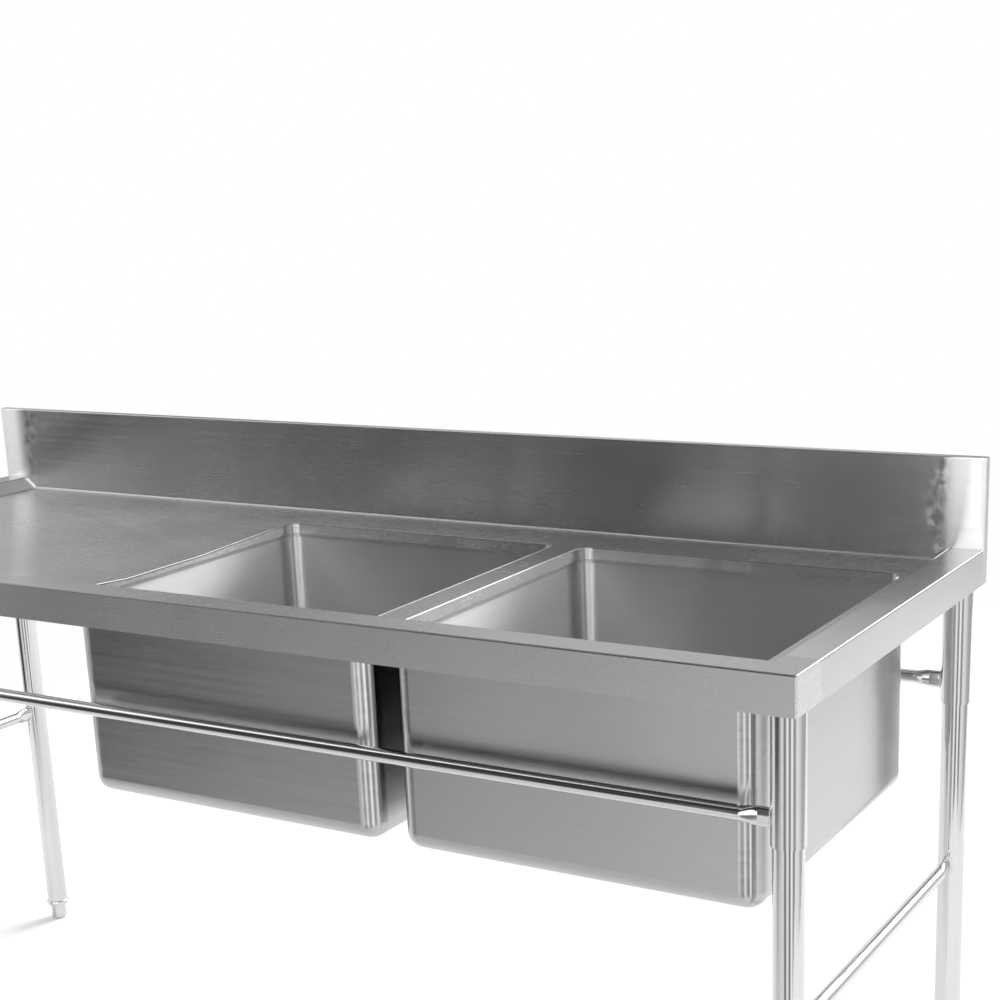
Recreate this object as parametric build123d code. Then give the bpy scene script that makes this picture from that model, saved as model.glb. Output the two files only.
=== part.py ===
from build123d import *
import math
import os

# Two-bowl stainless sink bench with a drainboard at its left and a splashback at its rear.
# Millimetres. X runs along the bench to the right, Y to the back, Z up from the floor.
# The origin is on the floor, under the middle of the bench.

# ---------------------------------------------------------------- driving dimensions
BENCH_LENGTH = 1900.0
BENCH_DEPTH = 700.0
RIM_HEIGHT = 900.0
SPLASH_RISE = 130.0  # above the rim
SPLASH_DEPTH = 15.0
SHEET = 1.2
CHANNEL_SHEET = 1.5

APRON_HEIGHT = 50.0
APRON_RETURN = 5.0
RIM_WIDTH = 45.0
RIM_SLOPE_RUN = 25.0
DECK_SINK = 20.0  # how far the deck lies below the rim
RIM_BEND = 2.5
CORNER_BEND = 1.8
RIM_INNER_BEND = 4.0
DECK_BEND = 5.0
SPLASH_FOOT_BEND = 5.0

BOWL_SIZE = 517.0
BOWL_PITCH = 554.0
BOWL_RIGHT_X = 614.0
BOWL_Y = -17.5
BOWL_BOTTOM = 571.0
BOWL_CORNER = 27.0
BOWL_FLOOR_BEND = 25.0
OPENING_SIZE = 508.0
OPENING_CORNER = 20.0
OPENING_BEND = 2.0
COLLAR_DEPTH = 18.0
NECK_TOP = 869.0
NECK_FOOT = 861.0
SHOULDER_FOOT = 855.0
FLOOR_FALL = 6.0
FALL_OUTER = 430.0
FALL_INNER = 126.0

DRAIN_FALL = 9.0  # depth of the drainboard's low side, at the left bowl
CREASE_REAR_START_Y = 308.0
CREASE_REAR_END_Y = 8.0
CREASE_FRONT_END_Y = -165.0

LEG_INSET = 28.0
LEG_FRONT_Y = -305.0
LEG_REAR_Y = 310.0
LEG_RADIUS = 19.05
LEG_WALL = 1.2
LEG_FOOT_Z = 40.0
LEG_TOP_Z = 855.0
SOCKET_RADIUS = 21.2
SOCKET_BORE = 19.15
SOCKET_FOOT_Z = 682.0
PLATE_TOP_Z = 865.0
PLATE_THICKNESS = 3.0

TOP_RAIL_RADIUS = 9.5
TOP_RAIL_Z = 712.0
SIDE_RAIL_RADIUS = 10.0
SIDE_RAIL_Z = 437.0
RAIL_WALL = 1.2

STEM_RADIUS = 6.0
STEM_ROOT = 5.2
STEM_BORE = 6.06
STEM_PITCH = 1.75
STEM_FOOT_Z = 12.0
STEM_TOP_Z = 72.0
INSERT_COLLAR_RADIUS = 21.0
INSERT_SPIGOT_RADIUS = 17.75
INSERT_COLLAR_HEIGHT = 10.0
INSERT_SPIGOT_HEIGHT = 35.0
FOOT_RADIUS = 14.5
FOOT_GAP = 0.3

SCREW_RADIUS = 4.0
SCREW_LENGTH = 11.0
SCREW_Z = 697.0

DRAIN_HOLE = 45.0  # radius
WASTE_FLANGE = 56.0
WASTE_CUP = 43.0
WASTE_WALL = 1.5
OUTLET_RADIUS = 23.9
OUTLET_BORE = 20.5
BASKET_WALL = 1.0
BASKET_RIM = 38.2
BASKET_CUP = 33.0
BASKET_DEPTH = 24.0
BASKET_HOLE = 2.0

# ---------------------------------------------------------------- derived dimensions
HALF_LENGTH = BENCH_LENGTH / 2
HALF_DEPTH = BENCH_DEPTH / 2
SPLASH_TOP = RIM_HEIGHT + SPLASH_RISE
SPLASH_FRONT = HALF_DEPTH - SPLASH_DEPTH
APRON_FOOT = RIM_HEIGHT - APRON_HEIGHT
DECK_Z = RIM_HEIGHT - DECK_SINK
DECK_LEFT = -HALF_LENGTH + RIM_WIDTH + RIM_SLOPE_RUN
DECK_FRONT = -HALF_DEPTH + RIM_WIDTH + RIM_SLOPE_RUN
BOWL_X = {"left": BOWL_RIGHT_X - BOWL_PITCH, "right": BOWL_RIGHT_X}
LEG_X = HALF_LENGTH - LEG_INSET
LEG_PLACES = {
    "front_left": (-LEG_X, LEG_FRONT_Y),
    "front_right": (LEG_X, LEG_FRONT_Y),
    "rear_left": (-LEG_X, LEG_REAR_Y),
    "rear_right": (LEG_X, LEG_REAR_Y),
}
OPENING_LEFT = BOWL_X["left"] - OPENING_SIZE / 2
SECTION_LEFT = DECK_LEFT + 2  # where the worktop's sections are welded, clear of the bends
SECTION_FRONT = DECK_FRONT + 2
SECTION_REAR = SPLASH_FRONT - SPLASH_FOOT_BEND - 1
SECTION_BOWLS = OPENING_LEFT - 3
SEAT_Z = BOWL_BOTTOM - FLOOR_FALL + SHEET  # top of the bowl's floor at the drain
BASKET_RIM_Z = SEAT_Z - 7.0
END_CHANNEL_IN = HALF_LENGTH - RIM_WIDTH + 3
END_CHANNEL_OUT = HALF_LENGTH - SHEET - 1.5


def block(x0, x1, y0, y1, z0, z1):
    """A box between two corners."""
    return Pos((x0 + x1) / 2, (y0 + y1) / 2, (z0 + z1) / 2) * Box(x1 - x0, y1 - y0, z1 - z0)


def tube_z(radius, z0, z1, x=0.0, y=0.0):
    """An upright cylinder between two heights."""
    return Pos(x, y, (z0 + z1) / 2) * Cylinder(radius, z1 - z0)


def rounded_prism(x, y, size, corner, z0, z1):
    """An upright square prism with rounded vertical edges."""
    outline = Pos(x, y, z0) * RectangleRounded(size, size, corner)
    return extrude(outline, z1 - z0)


def tapered_prism(x, y, low, high):
    """A loft between two rounded squares, each given as (size, corner, z)."""
    outlines = [Pos(x, y, z) * RectangleRounded(size, size, corner) for size, corner, z in (low, high)]
    return loft(outlines, ruled=True)


def polyhedron(points, faces):
    """A solid with flat faces, from its corners and the corner numbers of each face."""
    sides = [Face(Wire.make_polygon([points[i] for i in face])) for face in faces]
    return Solid(Shell(sides))


# ---------------------------------------------------------------- worktop
def deck_pocket(inset):
    """The sunk space above the deck, sloping in from the rim on three sides, upright at the splashback."""
    slope = math.hypot(RIM_SLOPE_RUN, DECK_SINK)
    out = inset * (slope - RIM_SLOPE_RUN) / DECK_SINK
    top, foot = RIM_HEIGHT - inset, DECK_Z - inset
    x_top = HALF_LENGTH - RIM_WIDTH + out
    y_top = -HALF_DEPTH + RIM_WIDTH - out
    x_foot = x_top - RIM_SLOPE_RUN
    y_foot = y_top + RIM_SLOPE_RUN
    rear = SPLASH_FRONT + inset
    points = [
        (-x_foot, y_foot, foot), (x_foot, y_foot, foot), (x_foot, rear, foot), (-x_foot, rear, foot),
        (-x_top, y_top, top), (x_top, y_top, top), (x_top, rear, top), (-x_top, rear, top),
    ]
    faces = [(0, 3, 2, 1), (4, 5, 6, 7), (0, 1, 5, 4), (1, 2, 6, 5), (2, 3, 7, 6), (3, 0, 4, 7)]
    pocket = polyhedron(points, faces)
    floor_edges = pocket.edges().filter_by_position(Axis.Z, foot - 0.01, foot + 0.01)
    rear_edge = floor_edges.sort_by(Axis.Y)[-1]
    pocket = fillet([edge for edge in floor_edges if edge != rear_edge], DECK_BEND - inset)
    rear_edge = pocket.edges().filter_by_position(Axis.Z, foot - 0.01, foot + 0.01).sort_by(Axis.Y)[-1]
    return fillet(rear_edge, SPLASH_FOOT_BEND - inset)


def drain_pocket(inset):
    """The shallow cross-broken fall of the drainboard, deepest along the left bowl's edge."""
    top = DECK_Z - inset
    half = OPENING_SIZE / 2
    stretch = 1 + 2 * OPENING_CORNER / (OPENING_LEFT - DECK_LEFT)
    end = DECK_LEFT + stretch * (OPENING_LEFT - DECK_LEFT)
    low = top - stretch * DRAIN_FALL

    def carried(start_y, opening_y):
        """Where a line from the drainboard's left end ends, carried on past the opening's left side."""
        return start_y + stretch * (opening_y - start_y)

    points = [
        (DECK_LEFT, DECK_FRONT, top), (DECK_LEFT, CREASE_REAR_START_Y, top),
        (end, carried(CREASE_REAR_START_Y, BOWL_Y + half), top), (end, carried(DECK_FRONT, BOWL_Y - half), top),
        (end, carried(CREASE_REAR_START_Y, CREASE_REAR_END_Y), low),
        (end, carried(DECK_FRONT, CREASE_FRONT_END_Y), low),
    ]
    faces = [(0, 3, 2, 1), (0, 1, 4, 5), (1, 2, 4), (0, 5, 3), (2, 3, 5, 4)]
    return polyhedron(points, faces)


def is_outer_bend(edge):
    """True on the rim's outer top edges: front, left, right and the two corner arcs between them."""
    middle = edge.center()
    at_side = abs(middle.X) > HALF_LENGTH - CORNER_BEND - SHEET
    at_front = middle.Y < -HALF_DEPTH + CORNER_BEND + SHEET
    return (at_side or at_front) and middle.Y < SPLASH_FRONT - 1


def is_inner_bend(edge):
    """True on the three edges where the rim's flat top turns down to the deck."""
    middle = edge.center()
    inside = abs(middle.X) < HALF_LENGTH - RIM_WIDTH + 1 and middle.Y > -HALF_DEPTH + RIM_WIDTH - 1
    return inside and middle.Y < SPLASH_FRONT - 1


def tray_block(inset):
    """The worktop as a filled block, with every outer face moved inward by inset."""
    foot = APRON_FOOT - 1 if inset else APRON_FOOT
    x_side = HALF_LENGTH - inset
    y_side = HALF_DEPTH - inset
    tray = block(-x_side, x_side, -y_side, y_side, foot, RIM_HEIGHT - inset)
    upright = tray.edges().filter_by(Axis.Z).sort_by(Axis.Y)[:2]
    tray = fillet(upright, CORNER_BEND - inset)
    splash = block(-HALF_LENGTH, HALF_LENGTH, SPLASH_FRONT + inset, y_side, RIM_HEIGHT, SPLASH_TOP - inset)
    splash_top = splash.edges().filter_by(Axis.X).sort_by(Axis.Z)[-2:]
    splash = fillet(splash_top, RIM_BEND - inset)
    if inset:
        tray += block(-x_side, x_side, SPLASH_FRONT + inset, y_side, foot, RIM_HEIGHT)
    tray += splash
    tray -= deck_pocket(inset)
    tray -= drain_pocket(inset)
    rim_edges = tray.edges().filter_by_position(Axis.Z, RIM_HEIGHT - inset - 0.01, RIM_HEIGHT - inset + 0.01)
    inner_bends = [edge for edge in rim_edges if is_inner_bend(edge)]
    tray = fillet(inner_bends, RIM_INNER_BEND - inset)
    rim_edges = tray.edges().filter_by_position(Axis.Z, RIM_HEIGHT - inset - 0.01, RIM_HEIGHT - inset + 0.01)
    outer_bends = [edge for edge in rim_edges if is_outer_bend(edge)]
    return fillet(outer_bends, RIM_BEND - inset)


def opening_edges(sheet, x):
    """The upper inner edges of a bowl opening that lies wholly in the flat deck."""
    reach = OPENING_SIZE / 2 + 0.1
    level = sheet.edges().filter_by_position(Axis.Z, DECK_Z - 0.01, DECK_Z + 0.01)
    return [edge for edge in level
            if abs(edge.center().X - x) < reach and abs(edge.center().Y - BOWL_Y) < reach]


def worktop():
    """Folded sheet: rim, sunk deck, drainboard, aprons, splashback, and a collar round each bowl opening."""
    outside = tray_block(0)
    inside = tray_block(SHEET)
    lip = APRON_RETURN + SHEET
    ledge = block(-HALF_LENGTH, HALF_LENGTH, -HALF_DEPTH, HALF_DEPTH, APRON_FOOT - 2, APRON_FOOT + SHEET)
    window = block(-HALF_LENGTH + lip, HALF_LENGTH - lip, -HALF_DEPTH + lip, HALF_DEPTH - lip,
                   APRON_FOOT - 2, APRON_FOOT + SHEET)
    sheet = outside - (inside - ledge) - window
    for x in BOWL_X.values():
        hole = rounded_prism(x, BOWL_Y, OPENING_SIZE, OPENING_CORNER, DECK_Z - 40, DECK_Z + 10)
        collar = rounded_prism(x, BOWL_Y, OPENING_SIZE + 2 * SHEET, OPENING_CORNER + SHEET,
                               DECK_Z - COLLAR_DEPTH, DECK_Z + 1)
        sheet = sheet + (collar & outside) - hole
    return fillet(opening_edges(sheet, BOWL_X["right"]), OPENING_BEND)


def deck_strips(deck):
    """The deck round the bowl openings as straight strips and small corners, edge to edge.

    The strip beside the drainboard is in three lengths, because it is folded where the drainboard's creases end.
    """
    half = OPENING_SIZE / 2
    near, far = BOWL_Y - half, BOWL_Y + half
    foot, top = DECK_Z - 2 * COLLAR_DEPTH, DECK_Z + 1
    ends = sorted(x + side * half for x in BOWL_X.values() for side in (-1, 1))
    folds = [near, CREASE_FRONT_END_Y, CREASE_REAR_END_Y, far]
    cells = [(-HALF_LENGTH, HALF_LENGTH, -HALF_DEPTH, near), (-HALF_LENGTH, HALF_LENGTH, far, HALF_DEPTH)]
    cells += [(-HALF_LENGTH, ends[0], y0, y1) for y0, y1 in zip(folds, folds[1:])]
    cells += [(x0, x1, near, far) for x0, x1 in zip(ends, [*ends[1:], HALF_LENGTH])]
    return Compound([solid for cell in cells for solid in (deck & block(*cell, foot, top)).solids()])


def worktop_sections():
    """The worktop cut where its sections are welded edge to edge and ground flush."""
    sheet = worktop()
    side, rear, foot, top = HALF_LENGTH, HALF_DEPTH, APRON_FOOT - 1, SPLASH_TOP + 1
    spans = {
        "front_rim": (-side, side, -rear, SECTION_FRONT),
        "left_rim": (-side, SECTION_LEFT, SECTION_FRONT, SECTION_REAR),
        "right_rim": (-SECTION_LEFT, side, SECTION_FRONT, SECTION_REAR),
        "drainboard": (SECTION_LEFT, SECTION_BOWLS, SECTION_FRONT, SECTION_REAR),
        "bowl_deck": (SECTION_BOWLS, -SECTION_LEFT, SECTION_FRONT, SECTION_REAR),
        "splashback": (-side, side, SECTION_REAR, rear),
    }
    sections = {node: sheet & block(*span, foot, top) for node, span in spans.items()}
    sections["bowl_deck"] = deck_strips(sections["bowl_deck"])
    return sections


def splash_end_cap(side):
    """Closes one end of the hollow splashback. side is -1 for left, 1 for right."""
    outer, inner = sorted((side * HALF_LENGTH, side * (HALF_LENGTH - SHEET)))
    cap = block(outer, inner, SPLASH_FRONT + SHEET, HALF_DEPTH - SHEET, RIM_HEIGHT, SPLASH_TOP - SHEET)
    return fillet(cap.edges().filter_by(Axis.X).sort_by(Axis.Z)[-2:], RIM_BEND - SHEET)


# ---------------------------------------------------------------- bowls
def bowl_block(x, inset):
    """A bowl as a filled block, with every outer face moved inward by inset."""
    size = BOWL_SIZE - 2 * inset
    corner = BOWL_CORNER - inset
    neck = OPENING_SIZE + 4 * SHEET - 2 * inset
    neck_corner = OPENING_CORNER + 2 * SHEET - inset
    top = NECK_TOP + (1 if inset else 0)
    body = rounded_prism(x, BOWL_Y, size, corner, BOWL_BOTTOM + inset, SHOULDER_FOOT)
    foot_edges = body.faces().sort_by(Axis.Z)[0].edges()
    body = fillet(foot_edges, BOWL_FLOOR_BEND - inset)
    body += tapered_prism(x, BOWL_Y, (size, corner, SHOULDER_FOOT), (neck, neck_corner, NECK_FOOT))
    body += rounded_prism(x, BOWL_Y, neck, neck_corner, NECK_FOOT, top)
    fall = tapered_prism(x, BOWL_Y, (FALL_INNER, 30.0, BOWL_BOTTOM - FLOOR_FALL + inset),
                         (FALL_OUTER, 12.0, BOWL_BOTTOM + inset))
    return body + fall


def bowl(x):
    """A deep square bowl with a floor that falls to its outlet hole, and a neck that laps the worktop's collar."""
    shell = bowl_block(x, 0) - bowl_block(x, SHEET)
    return shell - tube_z(DRAIN_HOLE, BOWL_BOTTOM - 20, BOWL_BOTTOM + 20, x, BOWL_Y)


def waste_body(x):
    """Flanged cup that hangs in the bowl's outlet hole, with a ledge for the strainer and a threaded spigot below."""
    top = SEAT_Z + 2.0
    profile = [
        (OUTLET_BORE, SEAT_Z - 84), (OUTLET_RADIUS, SEAT_Z - 84), (OUTLET_RADIUS, SEAT_Z - 43),
        (WASTE_CUP - 6, SEAT_Z - 38), (WASTE_CUP, SEAT_Z - 32), (WASTE_CUP, SEAT_Z), (WASTE_FLANGE, SEAT_Z),
        (WASTE_FLANGE, SEAT_Z + 0.8), (WASTE_FLANGE - 3, top), (WASTE_CUP, top), (WASTE_CUP - 3.5, SEAT_Z - 7),
        (WASTE_CUP - WASTE_WALL - 4.5, SEAT_Z - 7), (WASTE_CUP - WASTE_WALL - 4.5, SEAT_Z - 8.5),
        (WASTE_CUP - WASTE_WALL, SEAT_Z - 10), (WASTE_CUP - WASTE_WALL, SEAT_Z - 31.5),
        (WASTE_CUP - 7, SEAT_Z - 36.5), (OUTLET_BORE, SEAT_Z - 41.5),
    ]
    return Pos(x, BOWL_Y, 0) * revolve(Plane.XZ * make_face(Polyline(*profile, close=True)), Axis.Z)


def ring(x, y, inner, outer, z0, z1):
    """A flat ring round an upright axis."""
    return tube_z(outer, z0, z1, x, y) - tube_z(inner, z0 - 1, z1 + 1, x, y)


def waste_gasket(x):
    """Rubber washer under the bowl's floor."""
    top = SEAT_Z - SHEET
    return ring(x, BOWL_Y, WASTE_CUP + 0.3, WASTE_FLANGE - 2, top - 3, top)


def waste_backnut(x):
    """Flanged ring nut with six lugs, screwed up the waste body against the gasket."""
    top = SEAT_Z - SHEET - 3
    nut = ring(x, BOWL_Y, WASTE_CUP + 0.1, WASTE_FLANGE - 2, top - 3, top)
    nut += ring(x, BOWL_Y, WASTE_CUP + 0.1, WASTE_CUP + 5, top - 14, top - 3)
    lug = Pos(WASTE_CUP + 6.5, 0, top - 8.5) * Box(7, 9, 11)
    for turn in range(6):
        nut += Pos(x, BOWL_Y, 0) * Rot(0, 0, turn * 60) * lug
    return nut


def strainer_basket(x):
    """Round perforated cup whose rim rests on the waste body's ledge."""
    wall = BASKET_WALL
    foot = BASKET_RIM_Z - BASKET_DEPTH
    profile = [
        (0, foot), (BASKET_CUP - 4, foot), (BASKET_CUP, foot + 4), (BASKET_CUP, BASKET_RIM_Z),
        (BASKET_RIM, BASKET_RIM_Z), (BASKET_RIM, BASKET_RIM_Z + wall), (BASKET_CUP - wall, BASKET_RIM_Z + wall),
        (BASKET_CUP - wall, foot + 4.4), (BASKET_CUP - 4.4, foot + wall), (0, foot + wall),
    ]
    cup = revolve(Plane.XZ * make_face(Polyline(*profile, close=True)), Axis.Z)
    hole = Pos(0, 0, foot) * Cylinder(BASKET_HOLE, 6)
    cup -= hole
    for count, radius in ((6, 8.0), (12, 16.0), (18, 24.0)):
        cup -= [Rot(0, 0, 360 * step / count) * Pos(radius, 0, 0) * hole for step in range(count)]
    slot = Pos(BASKET_CUP, 0, foot + BASKET_DEPTH / 2 + 1) * Box(6, 2.4, 12)
    cup -= [Rot(0, 0, 360 * (step + 0.5) / 20) * slot for step in range(20)]
    return Pos(x, BOWL_Y, 0) * cup


def basket_handle(x):
    """Wire bail that arches over the strainer basket, its feet on the basket's rim."""
    wire = 1.5
    foot = BASKET_RIM_Z + BASKET_WALL
    span = BASKET_CUP + 2.4
    points = [(-span, 0, foot), (-span, 0, foot + 6), (-span + 20, 0, foot + 17), (span - 20, 0, foot + 17),
              (span, 0, foot + 6), (span, 0, foot)]
    path = FilletPolyline(*points, radius=[3.5, 12, 12, 3.5])
    section = Plane(origin=points[0], z_dir=(0, 0, 1)) * Circle(wire)
    return Pos(x, BOWL_Y, 0) * sweep(section, path=path)


# ---------------------------------------------------------------- channels and sockets
def channel_y(x0, x1, y0, y1, foot, top):
    """An upward-open U channel that runs along Y."""
    wall = CHANNEL_SHEET
    return block(x0, x1, y0, y1, foot, top) - block(x0 + wall, x1 - wall, y0 - 1, y1 + 1, foot + wall, top + 1)


def channel_x(x0, x1, y0, y1, foot, top):
    """An upward-open U channel that runs along X."""
    wall = CHANNEL_SHEET
    return block(x0, x1, y0, y1, foot, top) - block(x0 - 1, x1 + 1, y0 + wall, y1 - wall, foot + wall, top + 1)


def end_channel(side):
    """Stiffener in the hollow of the left or right rim."""
    x0, x1 = sorted((side * END_CHANNEL_IN, side * END_CHANNEL_OUT))
    return channel_y(x0, x1, -HALF_DEPTH + SHEET + 1.5, SPLASH_FRONT, PLATE_TOP_Z, RIM_HEIGHT - SHEET)


def front_channel():
    """Stiffener in the hollow of the front rim, between the end channels."""
    y0 = -HALF_DEPTH + SHEET + 1.5
    y1 = -HALF_DEPTH + RIM_WIDTH - 3
    return channel_x(-END_CHANNEL_IN, END_CHANNEL_IN, y0, y1, PLATE_TOP_Z, RIM_HEIGHT - SHEET)


def rear_channel():
    """Stiffener under the flat ledge behind the bowls."""
    return channel_x(OPENING_LEFT - 30, LEG_X - 34, 258.0, 312.0, 855.0, DECK_Z - SHEET)


def drainboard_channel():
    """Stiffener along the middle of the drainboard, tilted with its fall."""
    run = OPENING_LEFT - DECK_LEFT
    start, end = DECK_LEFT + 14, OPENING_LEFT - 14
    channel = channel_x(start - DECK_LEFT, end - DECK_LEFT, -108.0, -52.0, -18.0, 0.0)
    tilt = math.degrees(math.atan(DRAIN_FALL / run))
    return Pos(DECK_LEFT, 0, DECK_Z - SHEET) * Rot(0, tilt, 0) * channel


def socket_plate(x, y):
    """Flat plate under the channels, welded to the socket."""
    side = 1 if x > 0 else -1
    x0, x1 = sorted((side * (LEG_X - 25), side * (HALF_LENGTH - SHEET - 1)))
    plate = block(x0, x1, y - 32, min(y + 38, HALF_DEPTH - SHEET - 1), PLATE_TOP_Z - PLATE_THICKNESS, PLATE_TOP_Z)
    return fillet(plate.edges().filter_by(Axis.Z), 4)


def leg_socket(x, y):
    """Short upper tube that the leg pushes into, with a hole at its rear for the set screw."""
    top = PLATE_TOP_Z - PLATE_THICKNESS
    tube = ring(x, y, SOCKET_BORE, SOCKET_RADIUS, SOCKET_FOOT_Z, top)
    screw_hole = Pos(x, y + SOCKET_RADIUS, SCREW_Z) * Rot(90, 0, 0) * Cylinder(SCREW_RADIUS + 0.05, 12)
    return tube - screw_hole


def leg(x, y):
    """Round leg tube."""
    return ring(x, y, LEG_RADIUS - LEG_WALL, LEG_RADIUS, LEG_FOOT_Z, LEG_TOP_Z)


def set_screw(x, y):
    """Set screw with a hexagon socket, through the leg socket's rear side on to the leg."""
    start = LEG_RADIUS + 0.05
    body = Cylinder(SCREW_RADIUS, SCREW_LENGTH, align=(Align.CENTER, Align.CENTER, Align.MIN))
    body = chamfer(body.edges().sort_by(Axis.Z)[-1], 0.6)
    body -= Pos(0, 0, SCREW_LENGTH - 4) * extrude(RegularPolygon(2.3, 6), 5)
    return Pos(x, y + start, SCREW_Z) * Rot(-90, 0, 0) * body


# ---------------------------------------------------------------- rails
def crimped_rail(length, radius, hold):
    """A tube along X, centred on the origin, whose ends are pressed flat and trimmed to a round upright post.

    hold is the post's radius. length is measured between the posts' centres.
    """
    half = length / 2
    crimp = 42.0
    tall, thin = radius * 1.32, radius * 0.6
    wall = RAIL_WALL

    def section(x, height, width):
        return Plane(origin=(x, 0, 0), x_dir=(0, 0, 1), z_dir=(1, 0, 0)) * Ellipse(height, width)

    def tube(shrink):
        start = half - hold - crimp
        straight = extrude(section(-start, radius - shrink, radius - shrink), 2 * start)
        pinch = loft([section(start, radius - shrink, radius - shrink),
                      section(start + 9, radius * 1.04 - shrink, radius * 0.95 - shrink),
                      section(start + 20, tall * 0.97 - shrink, thin * 1.12 - shrink),
                      section(start + 26, tall - shrink, thin - shrink)])
        flat = extrude(section(start + 26, tall - shrink, thin - shrink), crimp - 26 + hold / 2)
        end = pinch + flat
        return straight + end + mirror(end, Plane.YZ)

    rail = tube(0) - tube(wall)
    for side in (-1, 1):
        rail -= tube_z(hold, -2 * tall, 2 * tall, side * half, 0)
    return rail


def top_rail(y):
    """Long rail between the left and right sockets."""
    return Pos(0, y, TOP_RAIL_Z) * crimped_rail(2 * LEG_X, TOP_RAIL_RADIUS, SOCKET_RADIUS)


def side_rail(x):
    """Low rail between the front and rear legs of one side."""
    length = LEG_REAR_Y - LEG_FRONT_Y
    middle = (LEG_REAR_Y + LEG_FRONT_Y) / 2
    return Pos(x, middle, SIDE_RAIL_Z) * Rot(0, 0, 90) * crimped_rail(length, SIDE_RAIL_RADIUS, LEG_RADIUS)


# ---------------------------------------------------------------- feet
def foot_insert(x, y):
    """Plug in the end of the leg, with a rounded collar and a threaded bore for the stem."""
    foot = LEG_FOOT_Z - INSERT_COLLAR_HEIGHT
    collar = fillet(tube_z(INSERT_COLLAR_RADIUS, foot, LEG_FOOT_Z, x, y).edges(), 3.5)
    spigot = tube_z(INSERT_SPIGOT_RADIUS, LEG_FOOT_Z - 2, LEG_FOOT_Z + INSERT_SPIGOT_HEIGHT, x, y)
    return collar + spigot - tube_z(STEM_BORE, foot - 1, LEG_FOOT_Z + INSERT_SPIGOT_HEIGHT + 1, x, y)


def foot_stem(x, y):
    """Threaded stem, its thread drawn as rings one pitch apart, its plain lower end swivelling in the foot."""
    profile = [(0, STEM_FOOT_Z), (STEM_RADIUS, STEM_FOOT_Z)]
    first = STEM_FOOT_Z + 15
    turns = int((STEM_TOP_Z - 2 - first) / STEM_PITCH)
    for turn in range(turns):
        z = first + turn * STEM_PITCH
        profile += [(STEM_RADIUS, z), (STEM_ROOT, z + 0.5 * STEM_PITCH), (STEM_RADIUS, z + 0.85 * STEM_PITCH)]
    profile += [(STEM_RADIUS, STEM_TOP_Z - 1), (STEM_RADIUS - 1, STEM_TOP_Z), (0, STEM_TOP_Z)]
    return Pos(x, y, 0) * revolve(Plane.XZ * make_face(Polyline(*profile, close=True)), Axis.Z)


def foot(x, y):
    """Bullet-shaped foot with a rounded lower edge, a flat sole and a blind seat for the stem."""
    top = LEG_FOOT_Z - INSERT_COLLAR_HEIGHT - FOOT_GAP
    body = tube_z(FOOT_RADIUS, 0, top, x, y)
    body = fillet(body.edges().sort_by(Axis.Z)[0], 5)
    body = fillet(body.edges().sort_by(Axis.Z)[-1], 1.5)
    return body - tube_z(STEM_BORE, STEM_FOOT_Z - 0.1, top + 1, x, y)


# ---------------------------------------------------------------- parts
def all_parts():
    """Every node's name and shape."""
    parts = worktop_sections()
    parts |= {
        "front_channel": front_channel(),
        "rear_channel": rear_channel(),
        "drainboard_channel": drainboard_channel(),
        "front_rail": top_rail(LEG_FRONT_Y),
        "rear_rail": top_rail(LEG_REAR_Y),
        "socket_screws": Compound([set_screw(x, y) for x, y in LEG_PLACES.values()]),
    }
    for name, side in (("left", -1), ("right", 1)):
        x = BOWL_X[name]
        parts["splash_end_cap_" + name] = splash_end_cap(side)
        parts["end_channel_" + name] = end_channel(side)
        parts["side_rail_" + name] = side_rail(side * LEG_X)
        parts["bowl_" + name] = bowl(x)
        parts["waste_body_" + name] = waste_body(x)
        parts["waste_gasket_" + name] = waste_gasket(x)
        parts["waste_backnut_" + name] = waste_backnut(x)
        parts["strainer_basket_" + name] = strainer_basket(x)
        parts["basket_handle_" + name] = basket_handle(x)
    for place, (x, y) in LEG_PLACES.items():
        parts["socket_plate_" + place] = socket_plate(x, y)
        parts["leg_socket_" + place] = leg_socket(x, y)
        parts["leg_" + place] = leg(x, y)
        parts["foot_insert_" + place] = foot_insert(x, y)
        parts["foot_stem_" + place] = foot_stem(x, y)
        parts["foot_" + place] = foot(x, y)
    return parts


os.makedirs("parts", exist_ok=True)
for node, shape in all_parts().items():
    export_step(shape, f"parts/{node}.step")
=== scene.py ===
import math

import bmesh
import bpy
from mathutils import Matrix, Vector
from mathutils.bvhtree import BVHTree


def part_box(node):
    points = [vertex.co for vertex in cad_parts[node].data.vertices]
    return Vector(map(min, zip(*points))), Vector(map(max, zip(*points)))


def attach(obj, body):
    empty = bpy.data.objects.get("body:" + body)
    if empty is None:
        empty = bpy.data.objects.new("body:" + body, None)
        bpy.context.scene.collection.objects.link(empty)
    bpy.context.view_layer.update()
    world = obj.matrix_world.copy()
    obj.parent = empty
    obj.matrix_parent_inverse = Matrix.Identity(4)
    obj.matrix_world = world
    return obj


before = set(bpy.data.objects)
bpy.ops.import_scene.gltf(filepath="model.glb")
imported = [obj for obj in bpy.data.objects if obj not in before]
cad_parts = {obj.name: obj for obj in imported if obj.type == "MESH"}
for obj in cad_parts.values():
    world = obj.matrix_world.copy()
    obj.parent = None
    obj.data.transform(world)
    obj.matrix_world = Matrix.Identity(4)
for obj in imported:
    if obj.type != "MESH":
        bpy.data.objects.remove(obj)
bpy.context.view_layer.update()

# ---------------------------------------------------------------- camera
CAMERA_PLACE = (1.6764, -2.1254, 1.4588)
CAMERA_YAW = math.radians(30.944)
CAMERA_PITCH = math.radians(15.416)  # downwards
CAMERA_ROLL = math.radians(-2.204)
CAMERA_LENS = 65.29  # mm, on a 36 mm sensor
CAMERA_SHIFT = (-0.0298, 0.1542)


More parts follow.
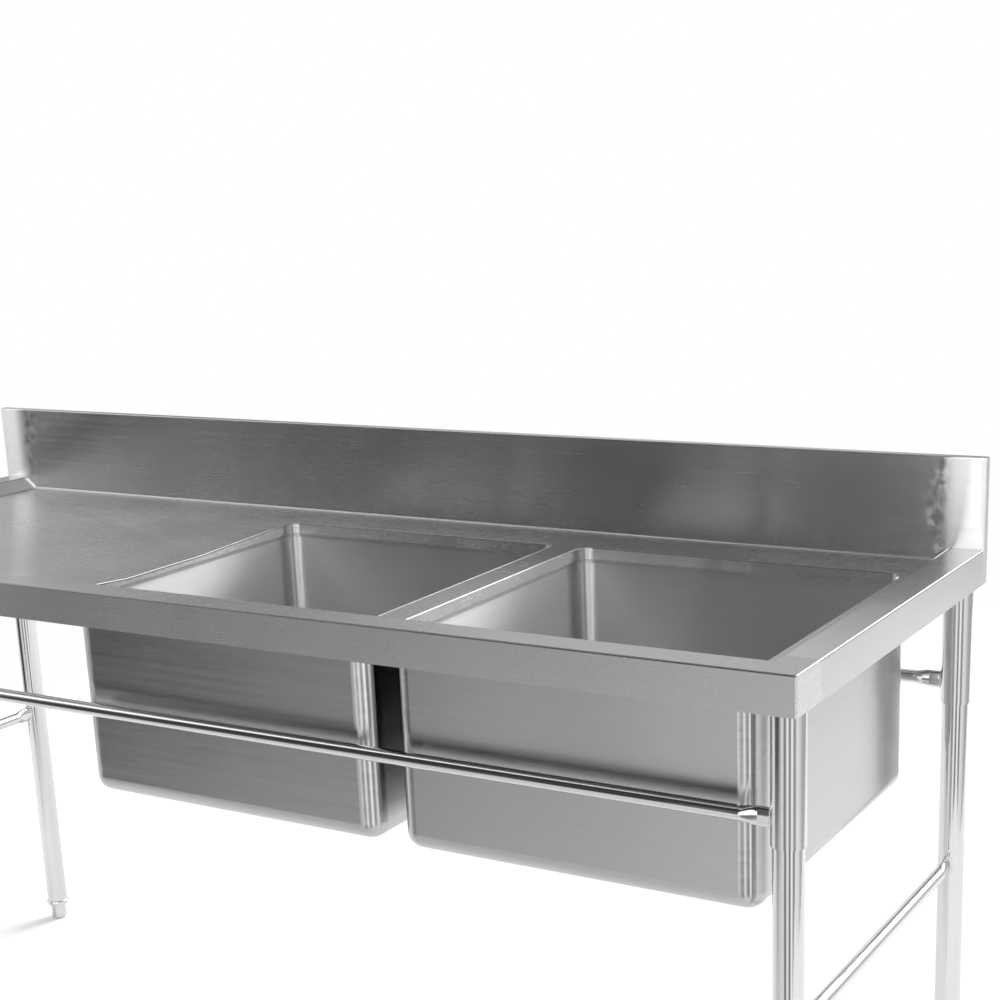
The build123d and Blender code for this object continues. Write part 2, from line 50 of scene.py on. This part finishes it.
def make_camera():
    """The photograph's viewpoint."""
    data = bpy.data.cameras.new("camera")
    data.sensor_width = 36.0
    data.lens = CAMERA_LENS
    data.shift_x, data.shift_y = CAMERA_SHIFT
    data.clip_start, data.clip_end = 0.05, 60.0
    camera = bpy.data.objects.new("camera", data)
    aim = Matrix.Rotation(CAMERA_YAW, 4, "Z") @ Matrix.Rotation(math.pi / 2 - CAMERA_PITCH, 4, "X")
    camera.matrix_world = Matrix.Translation(CAMERA_PLACE) @ aim @ Matrix.Rotation(CAMERA_ROLL, 4, "Z")
    bpy.context.scene.collection.objects.link(camera)
    bpy.context.scene.camera = camera


# ---------------------------------------------------------------- nodes
class Graph:
    """Adds shader nodes to a tree and joins them.

    An input is a socket, a node (its first output) or a value.
    """

    def __init__(self, tree):
        self.tree = tree
        tree.nodes.clear()

    def feed(self, socket, value):
        if isinstance(value, bpy.types.Node):
            value = value.outputs[0]
        if isinstance(value, bpy.types.NodeSocket):
            self.tree.links.new(value, socket)
        elif value is not None:
            socket.default_value = value

    def add(self, kind, *values, settings=None, **named):
        made = self.tree.nodes.new(kind)
        for key, value in (settings or {}).items():
            setattr(made, key, value)
        for socket, value in zip(made.inputs, values):
            self.feed(socket, value)
        for key, value in named.items():
            self.feed(made.inputs[key], value)
        return made

    def math(self, operation, *values, clamp=False):
        settings = {"operation": operation, "use_clamp": clamp}
        return self.add("ShaderNodeMath", *values, settings=settings).outputs[0]

    def vector(self, operation, *values):
        made = self.add("ShaderNodeVectorMath", *values, settings={"operation": operation})
        return made.outputs["Value" if operation == "DOT_PRODUCT" else "Vector"]

    def mix(self, factor, a, b, kind="FLOAT"):
        """A blend of two numbers, or of two vectors where kind is VECTOR."""
        made = self.add("ShaderNodeMix", settings={"data_type": kind})
        first = {"FLOAT": 2, "VECTOR": 4}[kind]
        for index, value in ((0, factor), (first, a), (first + 1, b)):
            self.feed(made.inputs[index], value)
        return made.outputs[{"FLOAT": 0, "VECTOR": 1}[kind]]

    def noise(self, vector, scale, detail=2.0, roughness=0.5):
        values = {"Vector": vector, "Scale": scale, "Detail": detail, "Roughness": roughness}
        return self.add("ShaderNodeTexNoise", **values).outputs["Fac"]

    def ramp(self, factor, stops):
        """A smooth curve through the stops, which are pairs of place and value. Blender takes up to 32."""
        made = self.add("ShaderNodeValToRGB", factor)
        elements = made.color_ramp.elements
        made.color_ramp.interpolation = "EASE"
        while len(elements) < len(stops):
            elements.new(1.0)
        for element, (place, value) in zip(elements, stops):
            element.position = place
            element.color = (value, value, value, 1.0)
        return made.outputs["Color"]

    def swing(self, factor, amount):
        """factor, from 0 to 1, as a change from -amount to +amount."""
        return self.math("MULTIPLY_ADD", factor, 2 * amount, -amount)


# ---------------------------------------------------------------- studio
# Brightness round the studio, by azimuth in degrees from +X towards +Y: of the ground close by, of the
# ground further off, and of the walls. They were matched to the photo by reading tones. The
# dark stretch of the walls is the unlit room in front of the bench.
GROUND = [
    (0, 1.1), (25, 0.62), (60, 0.54), (90, 0.8), (185, 0.9), (200, 0.35), (215, 0.64), (222, 0.86),
    (228, 0.98), (234, 0.90), (240, 0.95), (246, 1.00), (256, 1.05), (264, 0.3), (274, 0.3), (280, 1.2),
    (290, 1.1), (295, 0.3), (304, 0.25), (309, 1.4), (318, 1.2), (323, 0.4), (334, 0.4), (341, 1.2),
]
FURTHER = [
    (0, 1.0), (25, 0.60), (60, 0.52), (90, 0.8), (185, 0.9), (200, 0.25), (213, 0.04), (221, 0.05),
    (227, 0.10), (232, 0.28), (240, 0.68), (246, 0.98), (256, 1.1), (264, 0.25), (274, 0.25), (280, 1.3),
    (290, 1.2), (295, 0.25), (304, 0.20), (309, 1.5), (318, 1.3), (323, 0.35), (334, 0.35), (341, 1.2),
]
WALLS = [
    (0, 0.9), (35, 0.7), (55, 0.8), (72, 0.9), (84, 0.8), (98, 0.45), (106, 0.55), (113, 1.0),
    (119, 1.05), (125, 1.0), (131, 0.22), (140, 0.50), (147, 1.5), (156, 1.5), (165, 0.4), (178, 0.3),
    (190, 1.6), (214, 2.3), (219, 0.85), (224, 0.07), (240, 0.05), (253.5, 0.08), (254.8, 2.8),
    (284, 3.0), (290, 0.5), (304, 3.2), (318, 3.0), (323, 0.5), (333, 0.5), (340, 1.8),
]
# Dim strips in the dark stretch of the walls, apart because a ramp has too few stops left for them:
# azimuth, half width and added value.
STRIPS = [(239.0, 1.0, 0.10), (246.0, 0.9, 0.34), (249.0, 0.8, 0.35)]
HEIGHTS = [(0.0, 1.0), (0.66, 1.0), (0.80, 0.8), (1.0, 0.7)]  # from straight down to straight up
FADES = [(-0.39, -0.33), (-0.20, -0.09)]  # heights between which each of them fades into the next
BACKDROP = 1.0
KEY_AZIMUTH, KEY_ELEVATION = 70.0, 36.0  # degrees
KEY_WIDTH = 38.0  # degrees across, as seen from the bench
KEY_POWER = 3.2
FLOOR_SIDE = 2.2
FLOOR_FRONT, FLOOR_BACK = -0.95, 3.5
FLOOR_CELLS = 12  # each way
FLOOR_COLOUR = (0.84, 0.84, 0.84, 1.0)


def make_world():
    """A pale backdrop for the camera, and for the steel a bright studio with a dark side.

    The ramps hold half of each brightness, and the last step doubles it.
    """
    world = bpy.data.worlds.new("studio")
    world.use_nodes = True
    bpy.context.scene.world = world
    graph = Graph(world.node_tree)
    direction = graph.add("ShaderNodeTexCoord").outputs["Generated"]
    parts = graph.add("ShaderNodeSeparateXYZ", direction)
    turn = graph.math("ARCTAN2", parts.outputs[1], parts.outputs[0])
    turn = graph.math("FRACT", graph.math("DIVIDE", turn, 2 * math.pi))
    levels = []
    for stops in (GROUND, FURTHER, WALLS):
        stops = stops + [(360, stops[0][1])]
        levels.append(graph.ramp(turn, [(azimuth / 360, value / 2) for azimuth, value in stops]))
    for azimuth, half_width, value in STRIPS:
        off = graph.math("ABSOLUTE", graph.math("SUBTRACT", turn, azimuth / 360))
        near = graph.math("SUBTRACT", 1.0, graph.math("MULTIPLY", off, 360 / half_width), clamp=True)
        levels[-1] = graph.math("MULTIPLY_ADD", near, value / 2, levels[-1])
    around = levels[0]
    for level, (low, high) in zip(levels[1:], FADES):
        steep = 1 / (high - low)
        rise = graph.math("MULTIPLY_ADD", parts.outputs[2], steep, -low * steep, clamp=True)
        around = graph.mix(rise, around, level)
    height = graph.math("MULTIPLY_ADD", parts.outputs[2], 0.5, 0.5)
    light = graph.math("MULTIPLY", around, graph.math("MULTIPLY", graph.ramp(height, HEIGHTS), 2.0))
    seen = graph.add("ShaderNodeLightPath").outputs["Is Camera Ray"]
    strength = graph.mix(seen, light, BACKDROP)
    background = graph.add("ShaderNodeBackground", Color=(1, 1, 1, 1), Strength=strength)
    graph.add("ShaderNodeOutputWorld", background)


def make_key():
    """A large soft key light, far off, which lights the whole floor evenly."""
    data = bpy.data.lights.new("key", "SUN")
    data.angle = math.radians(KEY_WIDTH)
    data.energy = KEY_POWER
    key = bpy.data.objects.new("key", data)
    turn, rise = math.radians(KEY_AZIMUTH), math.radians(KEY_ELEVATION)
    towards = Vector((math.cos(turn) * math.cos(rise), math.sin(turn) * math.cos(rise), math.sin(rise)))
    key.rotation_mode = "QUATERNION"
    key.rotation_quaternion = towards.to_track_quat("Z", "Y")
    bpy.context.scene.collection.objects.link(key)


def make_floor():
    """A sheet of pale paper under the bench."""
    mesh = bpy.data.meshes.new("floor")
    shape = bmesh.new()
    across = [FLOOR_SIDE * (2 * column / FLOOR_CELLS - 1) for column in range(FLOOR_CELLS + 1)]
    grid = []
    for row in range(FLOOR_CELLS + 1):
        y = FLOOR_FRONT + (FLOOR_BACK - FLOOR_FRONT) * row / FLOOR_CELLS
        grid.append([shape.verts.new((x, y, 0.0)) for x in across])
    for lower, upper in zip(grid, grid[1:]):
        for column in range(FLOOR_CELLS):
            shape.faces.new((lower[column], lower[column + 1], upper[column + 1], upper[column]))
    shape.to_mesh(mesh)
    shape.free()
    floor = bpy.data.objects.new("floor", mesh)
    bpy.context.scene.collection.objects.link(floor)
    material = bpy.data.materials.new("paper")
    material.use_nodes = True
    graph = Graph(material.node_tree)
    place = graph.add("ShaderNodeTexCoord").outputs["Object"]
    tooth = graph.noise(place, 300.0, 3.0)
    bump = graph.add("ShaderNodeBump", Strength=0.1, Distance=0.0004, Height=tooth)
    shader = graph.add("ShaderNodeBsdfPrincipled", Normal=bump)
    graph.feed(shader.inputs["Base Color"], FLOOR_COLOUR)
    graph.feed(shader.inputs["Roughness"], 0.9)
    graph.add("ShaderNodeOutputMaterial", shader)
    mesh.materials.append(material)


# ---------------------------------------------------------------- steel
OUTSIDE_PAINTED_SHADE = 0.82  # a factor on the tint of the outsides of the bowls, against the brushed sheet: painted shade that dims their reflections
BEND_PAINTED_SHADE = 0.5  # painted shade on the bends in rims and deck: a factor on the tint, against the flats beside them
FLAT_GRAIN = (1, 0, 0)  # the way that level faces are brushed
SWIRL_WIDTH = 0.022  # reach of the marks that grinding a weld leaves, each way
SWIRL_TURN = 0.45  # radians, the most that they turn the brushing
FLAT = 0.7  # a face is treated as level where its normal's height is more than this


def grain_frame(graph, swirl):
    """Sockets for the object's own place, and for the directions along and across the brushing."""
    place = graph.add("ShaderNodeTexCoord").outputs["Object"]
    normal = graph.add("ShaderNodeNewGeometry").outputs["Normal"]
    height = graph.math("ABSOLUTE", graph.add("ShaderNodeSeparateXYZ", normal).outputs[2])
    level = graph.math("GREATER_THAN", height, FLAT)
    around = graph.vector("NORMALIZE", graph.vector("CROSS_PRODUCT", (0, 0, 1), normal))
    along = graph.mix(level, around, FLAT_GRAIN, "VECTOR")
    across = graph.vector("CROSS_PRODUCT", normal, along)
    if swirl:
        parts = graph.add("ShaderNodeSeparateXYZ", place)
        off = graph.math("SUBTRACT", graph.math("ABSOLUTE", parts.outputs[0]), swirl)
        off = graph.math("ADD", off, graph.swing(graph.noise(place, 14.0, 3.0), 0.02))
        off = graph.math("MULTIPLY", graph.math("ABSOLUTE", off), 1 / SWIRL_WIDTH)
        near = graph.math("SUBTRACT", 1.0, off, clamp=True)
        angle = graph.math("MULTIPLY", near, graph.swing(graph.noise(place, 80.0, 3.0), SWIRL_TURN))
        turned = graph.vector("SCALE", along, None)
        graph.feed(turned.node.inputs["Scale"], graph.math("COSINE", angle))
        other = graph.vector("SCALE", across, None)
        graph.feed(other.node.inputs["Scale"], graph.math("SINE", angle))
        along = graph.vector("ADD", turned, other)
        across = graph.vector("CROSS_PRODUCT", normal, along)
    return place, along, across


def drawn_back(graph, place, axis, centre, start, reach, slope):
    """Height of a sheet that curves back beyond start on both sides of centre.

    Its slope grows to the given one at start + reach.
    """
    along = graph.add("ShaderNodeSeparateXYZ", place).outputs[axis]
    beyond = graph.math("SUBTRACT", graph.math("ABSOLUTE", graph.math("SUBTRACT", along, centre)), start)
    beyond = graph.math("MAXIMUM", beyond, 0.0)
    return graph.math("MULTIPLY", graph.math("POWER", beyond, 2.0), -0.5 * slope / reach)


def steel(name, tint, roughness, anisotropy, wave=0.0, swirl=0.0, grain=1.0, upright=False,
          curves=(), outside=None, centre=None, bend_painted_shade=1.0):
    """Brushed or polished steel.

    The brushing runs level round upright faces and along FLAT_GRAIN on level ones; upright turns it
    through a quarter turn, and grain is its strength. wave is the height of the sheet's slow ripple.
    swirl is the distance from the middle, along X, where the sheet was ground after welding. curves are
    the arguments of drawn_back. outside is the roughness of the faces that look away from centre, where
    those have a mill finish; their tint is darkened too, as painted shade that dims their reflections.
    The last argument is the tint's factor where a face is neither upright nor level: painted shade that
    dims the highlights along the bends and rounded edges.
    """
    material = bpy.data.materials.new(name)
    material.use_nodes = True
    graph = Graph(material.node_tree)
    place, along, across = grain_frame(graph, swirl)
    if upright:
        along, across = across, along
    u = graph.vector("DOT_PRODUCT", place, along)
    v = graph.vector("DOT_PRODUCT", place, across)

    def lines(long, wide, detail):
        scaled = (graph.math("MULTIPLY", u, long), graph.math("MULTIPLY", v, wide))
        return graph.noise(graph.add("ShaderNodeCombineXYZ", *scaled), 1.0, detail, 0.6)

    hairs = lines(28.0, 1100.0, 3.0)
    bands = lines(2.5, 130.0, 3.0)
    smudges = graph.noise(place, 5.0, 5.0, 0.55)
    scuffs = graph.noise(place, 46.0, 4.0, 0.65)

    # Painted shade: the outsides of the bowls are tinted darker, to dim their reflections.
    painted_shade = 1.0
    if outside is not None:
        away = graph.vector("SUBTRACT", place, centre)
        facing = graph.add("ShaderNodeNewGeometry").outputs["Normal"]
        outer = graph.math("GREATER_THAN", graph.vector("DOT_PRODUCT", away, facing), 0.0)
        roughness = graph.mix(outer, roughness, outside)
        painted_shade = graph.mix(outer, 1.0, OUTSIDE_PAINTED_SHADE)
    rough = graph.math("ADD", roughness, graph.swing(hairs, 0.05 * grain))
    rough = graph.math("ADD", rough, graph.swing(bands, 0.04 * grain))
    rough = graph.math("ADD", rough, graph.swing(smudges, 0.045))
    rough = graph.math("ADD", rough, graph.swing(scuffs, 0.02))
    looks = graph.add("ShaderNodeNewGeometry").outputs["Normal"]
    rise = graph.math("ABSOLUTE", graph.add("ShaderNodeSeparateXYZ", looks).outputs[2])
    # Painted shade: the tint is darkened on the bends, dimming their highlight lines.
    bend = graph.ramp(rise, [(0.0, 0.0), (0.08, 0.0), (0.2, 1.0), (0.9, 1.0), (0.97, 0.0)])
    painted_shade = graph.math("MULTIPLY", painted_shade, graph.mix(bend, 1.0, bend_painted_shade))
    shade = graph.math("ADD", painted_shade, graph.swing(bands, 0.06 * grain))
    shade = graph.math("ADD", shade, graph.swing(smudges, 0.035))
    shade = graph.math("ADD", shade, graph.swing(hairs, 0.05 * grain))
    colour = graph.vector("SCALE", tint, None)
    graph.feed(colour.node.inputs["Scale"], shade)

    relief = graph.math("MULTIPLY_ADD", bands, 0.6, hairs)
    normal = graph.add("ShaderNodeBump", Strength=0.04 * grain, Distance=0.0002, Height=relief)
    if wave:
        slow = graph.vector("MULTIPLY", place, (4.0, 4.0, 1.6))
        slow = graph.noise(slow, 1.0, 1.0)
        normal = graph.add("ShaderNodeBump", Strength=1.0, Distance=wave, Height=slow, Normal=normal)
    for curve in curves:
        height = drawn_back(graph, place, *curve)
        normal = graph.add("ShaderNodeBump", Strength=1.0, Distance=1.0, Height=height, Normal=normal)

    shader = graph.add("ShaderNodeBsdfPrincipled")
    values = {
        "Base Color": colour, "Metallic": 1.0, "Roughness": rough, "Anisotropic": anisotropy,
        "Tangent": across, "Normal": normal,
    }
    for key, value in values.items():
        graph.feed(shader.inputs[key], value)
    graph.add("ShaderNodeOutputMaterial", shader)
    return material


def moulded(name, colour, roughness, grain_scale, relief):
    """Rubber or moulded plastic, with a fine grain and faint dust."""
    material = bpy.data.materials.new(name)
    material.use_nodes = True
    graph = Graph(material.node_tree)
    place = graph.add("ShaderNodeTexCoord").outputs["Object"]
    fine = graph.noise(place, grain_scale, 4.0, 0.6)
    dust = graph.noise(place, 60.0, 4.0, 0.6)
    shade = graph.math("ADD", 1.0, graph.swing(dust, 0.18))
    tone = graph.vector("SCALE", colour, None)
    graph.feed(tone.node.inputs["Scale"], shade)
    normal = graph.add("ShaderNodeBump", Strength=0.3, Distance=relief, Height=fine)
    rough = graph.math("ADD", roughness, graph.swing(fine, 0.1))
    shader = graph.add("ShaderNodeBsdfPrincipled")
    values = {"Base Color": tone, "Roughness": rough, "Normal": normal}
    for key, value in values.items():
        graph.feed(shader.inputs[key], value)
    graph.add("ShaderNodeOutputMaterial", shader)
    return material


SHEET_TINT = (0.56, 0.563, 0.567)
TUBE_TINT = (0.62, 0.623, 0.627)
SWIRL_IN = 0.068  # from the splashback's end
CURVE_IN, CURVE_REACH, CURVE_SLOPE = 0.062, 0.055, 0.16  # of its drawn-back ends


def make_materials():
    """Every finish, by name."""
    half_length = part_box("splashback")[1].x
    ends = (0, 0.0, half_length - CURVE_IN, CURVE_REACH, CURVE_SLOPE)
    ground = half_length - SWIRL_IN
    bowls = {}
    # The outsides of the bowls get a rougher finish and painted shade, a darker tint.
    for bowl in ("bowl_left", "bowl_right"):
        centre = tuple(middle(bowl))
        bowls[bowl] = steel(bowl, SHEET_TINT, 0.38, 1.0, wave=0.0005, outside=0.19, centre=centre)
    # The rims and deck get painted shade on their bends.
    folds = {"grain": 0.4, "bend_painted_shade": BEND_PAINTED_SHADE}
    return bowls | {
        "sheet": steel("sheet", SHEET_TINT, 0.27, 1.0, wave=0.0006, **folds),
        "side_rim": steel("side_rim", SHEET_TINT, 0.25, 0.8, wave=0.0004, **folds),
        "splash": steel("splash", SHEET_TINT, 0.25, 1.0, wave=0.0008, swirl=ground, curves=[ends]),
        "folded": steel("folded", (0.55, 0.555, 0.56), 0.36, 0.5, wave=0.0003),
        "tube": steel("tube", TUBE_TINT, 0.11, 0.2, grain=0.4, upright=True),
        "rail": steel("rail", TUBE_TINT, 0.09, 0.0, grain=0.25),
        "socket": steel("socket", TUBE_TINT, 0.15, 0.35, grain=0.6, upright=True),
        "turned": steel("turned", TUBE_TINT, 0.18, 0.5, grain=0.7),
        "thread": steel("thread", (0.58, 0.58, 0.585), 0.32, 0.3),
        "weld": steel("weld", (0.60, 0.60, 0.60), 0.24, 0.0, grain=0.6),
        "polished": steel("polished", TUBE_TINT, 0.12, 0.0, grain=0.3),
        # The lip's tint, near half the sheet's, is painted shade that dims the highlight along the edge.
        "lip": steel("lip", (0.30, 0.302, 0.304), 0.45, 0.0, grain=0.6),
        "rubber": moulded("rubber", (0.03, 0.03, 0.032), 0.75, 900.0, 0.0002),
        "plastic": moulded("plastic", (0.80, 0.80, 0.78), 0.45, 500.0, 0.0001),
    }


# The finish of each node, by the start of its name. The longest start that fits decides.
FINISHES = {
    "left_rim": "side_rim", "right_rim": "side_rim", "splash": "splash",
    "bowl_left": "bowl_left", "bowl_right": "bowl_right",
    "bowl_deck": "sheet", "front_rim": "sheet", "drainboard": "sheet",
    "drainboard_channel": "folded", "front_channel": "folded", "rear_channel": "folded",
    "end_channel": "folded", "socket_plate": "folded", "socket_screws": "thread",
    "leg_": "tube", "leg_socket": "socket",
    "side_rail": "rail", "front_rail": "rail", "rear_rail": "rail",
    "foot_": "turned", "foot_stem": "thread",
    "waste_body": "turned", "waste_gasket": "rubber", "waste_backnut": "plastic",
    "strainer_basket": "turned", "basket_handle": "turned",
}


def dress_nodes(materials):
    """Gives every CAD node its finish."""
    for name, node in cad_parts.items():
        start = max((start for start in FINISHES if name.startswith(start)), key=len)
        node.data.materials.clear()
        node.data.materials.append(materials[FINISHES[start]])


# ---------------------------------------------------------------- added pieces
def new_piece(name, shape, material, body):
    """Turns a bmesh into an object that rides on a body."""
    mesh = bpy.data.meshes.new(name)
    shape.to_mesh(mesh)
    shape.free()
    mesh.polygons.foreach_set("use_smooth", [True] * len(mesh.polygons))
    mesh.materials.append(material)
    piece = bpy.data.objects.new(name, mesh)
    bpy.context.scene.collection.objects.link(piece)
    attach(piece, body)


def sweep_ring(shape, centres, outline):
    """Skins a closed tube: outline(step) gives the section's points at each of the centres."""
    loops = [[shape.verts.new(point) for point in outline(step)] for step in range(len(centres))]
    for first, second in zip(loops, loops[1:] + loops[:1]):
        for a, b, c, d in zip(first, first[1:] + first[:1], second[1:] + second[:1], second):
            shape.faces.new((a, b, c, d))


BEAD_RADIUS = 0.0017
BEAD_RIPPLE = 0.16  # of the radius
BEAD_RIPPLES = 22  # round one rail's end
BEAD_STEPS = 96
BEAD_SIDES = 10
RAIL_END_SHAPE = 0.6 / 1.32  # width of a rail's flattened end, against its height


def weld_bead(name, centres, material):
    """A closed bead of weld along a ring of points, with the ripples of its passes."""
    shape = bmesh.new()
    count = len(centres)

    def outline(step):
        before, here, after = centres[step - 1], centres[step], centres[(step + 1) % count]
        forward = (after - before).normalized()
        side = forward.cross(Vector((0.3, 0.5, 0.81))).normalized()
        up = forward.cross(side)
        phase = 2 * math.pi * BEAD_RIPPLES * step / count
        radius = BEAD_RADIUS * (1 + BEAD_RIPPLE * math.sin(phase) + 0.08 * math.sin(3.1 * step))
        turns = [2 * math.pi * corner / BEAD_SIDES for corner in range(BEAD_SIDES)]
        return [here + radius * (math.cos(turn) * side + math.sin(turn) * up) for turn in turns]

    sweep_ring(shape, centres, outline)
    bmesh.ops.recalc_face_normals(shape, faces=shape.faces)
    new_piece(name, shape, material, "bench")


def middle(node):
    """The middle of a CAD node's box."""
    low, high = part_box(node)
    return (low + high) / 2


def rail_welds(materials):
    """Beads where each rail's flattened end meets its post."""
    along_x, along_y = Vector((1, 0, 0)), Vector((0, 1, 0))
    for rail, post in (("front_rail", "leg_socket_front"), ("rear_rail", "leg_socket_rear")):
        for side, sign in (("left", -1), ("right", 1)):
            make_rail_weld(materials, rail, f"{post}_{side}", sign * along_x, along_y)
    for side in ("left", "right"):
        for place, sign in (("front", -1), ("rear", 1)):
            make_rail_weld(materials, f"side_rail_{side}", f"leg_{place}_{side}", sign * along_y, along_x)


def make_rail_weld(materials, rail, post, outward, sideways):
    """One bead, round the flattened end of a rail where it meets an upright post.

    outward points along the rail, from its middle to the post.
    """
    low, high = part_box(rail)
    tall = (high.z - low.z) / 2
    thin = tall * RAIL_END_SHAPE
    post_low, post_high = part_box(post)
    radius = (post_high.x - post_low.x) / 2
    centre = middle(post)
    centre.z = middle(rail).z
    centres = []
    for step in range(BEAD_STEPS):
        turn = 2 * math.pi * step / BEAD_STEPS
        across = thin * math.sin(turn)
        reach = math.sqrt(radius ** 2 - across ** 2)
        up = Vector((0, 0, tall * math.cos(turn)))
        centres.append(centre - outward * reach + sideways * across + up)
    weld_bead(f"weld_{rail}_{post}", centres, materials["weld"])


OPENING_SIZE = 0.508
OPENING_CORNER = 0.020
CORNER_STEPS = 8
LIP_RADIUS = 0.0016
LIP_GAP = 0.012  # the most between the points along the opening's straight sides
LIP_PROBE = 0.0008  # how far outside the opening the deck's height is measured
LIP_TURN = 24  # degrees between the points round the lip's section


def opening_outline(centre):
    """Points round a bowl opening with their outward directions, level, in the XY plane."""
    half = OPENING_SIZE / 2 - OPENING_CORNER
    points = []
    for corner in range(4):
        halfway = math.pi / 4 + corner * math.pi / 2
        x, y = (math.copysign(half, part) for part in (math.cos(halfway), math.sin(halfway)))
        hub = centre + Vector((x, y, 0))
        for step in range(CORNER_STEPS + 1):
            turn = (corner + step / CORNER_STEPS) * math.pi / 2
            outward = Vector((math.cos(turn), math.sin(turn), 0))
            points.append((hub + OPENING_CORNER * outward, outward))
    return points


def fill_outline(points, longest):
    """Adds points along the straight stretches, no further apart than longest."""
    filled = []
    for (point, outward), (after, _) in zip(points, points[1:] + points[:1]):
        filled.append((point, outward))
        gap = (after - point).length
        for step in range(1, math.ceil(gap / longest)):
            filled.append((point.lerp(after, step * longest / gap), outward))
    return filled


def opening_lip(side, materials):
    """The rounded, ground edge where the deck turns down into a bowl."""
    trees = []
    for sheet in ("bowl_deck", "drainboard"):
        copy = bmesh.new()
        copy.from_mesh(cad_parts[sheet].data)
        trees.append(BVHTree.FromBMesh(copy))
        copy.free()
    points = fill_outline(opening_outline(middle(f"bowl_{side}")), LIP_GAP)
    heights = []
    for point, outward in points:
        start = Vector((point.x, point.y, 1.0)) + LIP_PROBE * outward
        hits = [tree.ray_cast(start, Vector((0, 0, -1)))[0] for tree in trees]
        heights.append(max(hit.z for hit in hits if hit is not None))
    shape = bmesh.new()
    depth = LIP_RADIUS * math.sqrt(0.5)
    arc = [math.radians(angle) for angle in range(0, 360, LIP_TURN)]
    up = Vector((0, 0, 1))

    def outline(step):
        point, outward = points[step]
        hub = Vector((point.x, point.y, heights[step] - depth)) + depth * outward
        return [hub + LIP_RADIUS * (math.cos(turn) * outward + math.sin(turn) * up) for turn in arc]

    sweep_ring(shape, points, outline)
    bmesh.ops.recalc_face_normals(shape, faces=shape.faces)
    new_piece(f"opening_lip_{side}", shape, materials["lip"], "bench")


CORNER_WELD_RADIUS = 0.0035
CORNER_WELD_TALL = 0.008  # half its height
CORNER_WELD_DEPTH = 0.010  # of its middle, below the deck
CORNER_WELD_IN = 0.001  # of its middle, from the collar's face
CORNER_WELD_WOBBLE = 0.06  # of the radius


def corner_weld(side, materials):
    """The ground bead in the rear right corner of a bowl's collar."""
    half = OPENING_SIZE / 2 - OPENING_CORNER
    outward = Vector((1, 1, 0)).normalized()
    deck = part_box("bowl_deck")[1].z
    hub = middle(f"bowl_{side}") + Vector((half, half, 0)) + (OPENING_CORNER - CORNER_WELD_IN) * outward
    hub.z = deck - CORNER_WELD_DEPTH
    shape = bmesh.new()
    rings, sides = 14, 18
    loops = []
    for ring in range(1, rings):
        tilt = math.pi * ring / rings
        radius = CORNER_WELD_RADIUS * math.sin(tilt) * (1 + CORNER_WELD_WOBBLE * math.sin(5.0 * tilt))
        centre = hub + Vector((0, 0, CORNER_WELD_TALL * math.cos(tilt)))
        turns = [2 * math.pi * corner / sides for corner in range(sides)]
        spokes = [Vector((math.cos(turn), math.sin(turn), 0)) for turn in turns]
        loops.append([shape.verts.new(centre + radius * spoke) for spoke in spokes])
    for first, second in zip(loops, loops[1:]):
        for a, b, c, d in zip(first, first[1:] + first[:1], second[1:] + second[:1], second):
            shape.faces.new((a, b, c, d))
    for loop, end in ((loops[0], 1), (loops[-1], -1)):
        tip = shape.verts.new(hub + Vector((0, 0, end * CORNER_WELD_TALL)))
        for a, b in zip(loop, loop[1:] + loop[:1]):
            shape.faces.new((a, b, tip))
    bmesh.ops.recalc_face_normals(shape, faces=shape.faces)
    new_piece(f"corner_weld_{side}", shape, materials["polished"], "bench")


# ---------------------------------------------------------------- scene
bpy.context.scene.view_settings.view_transform = "Standard"
make_camera()
make_world()
make_key()
make_floor()
finishes = make_materials()
dress_nodes(finishes)
rail_welds(finishes)
opening_lip("left", finishes)
corner_weld("left", finishes)
corner_weld("right", finishes)
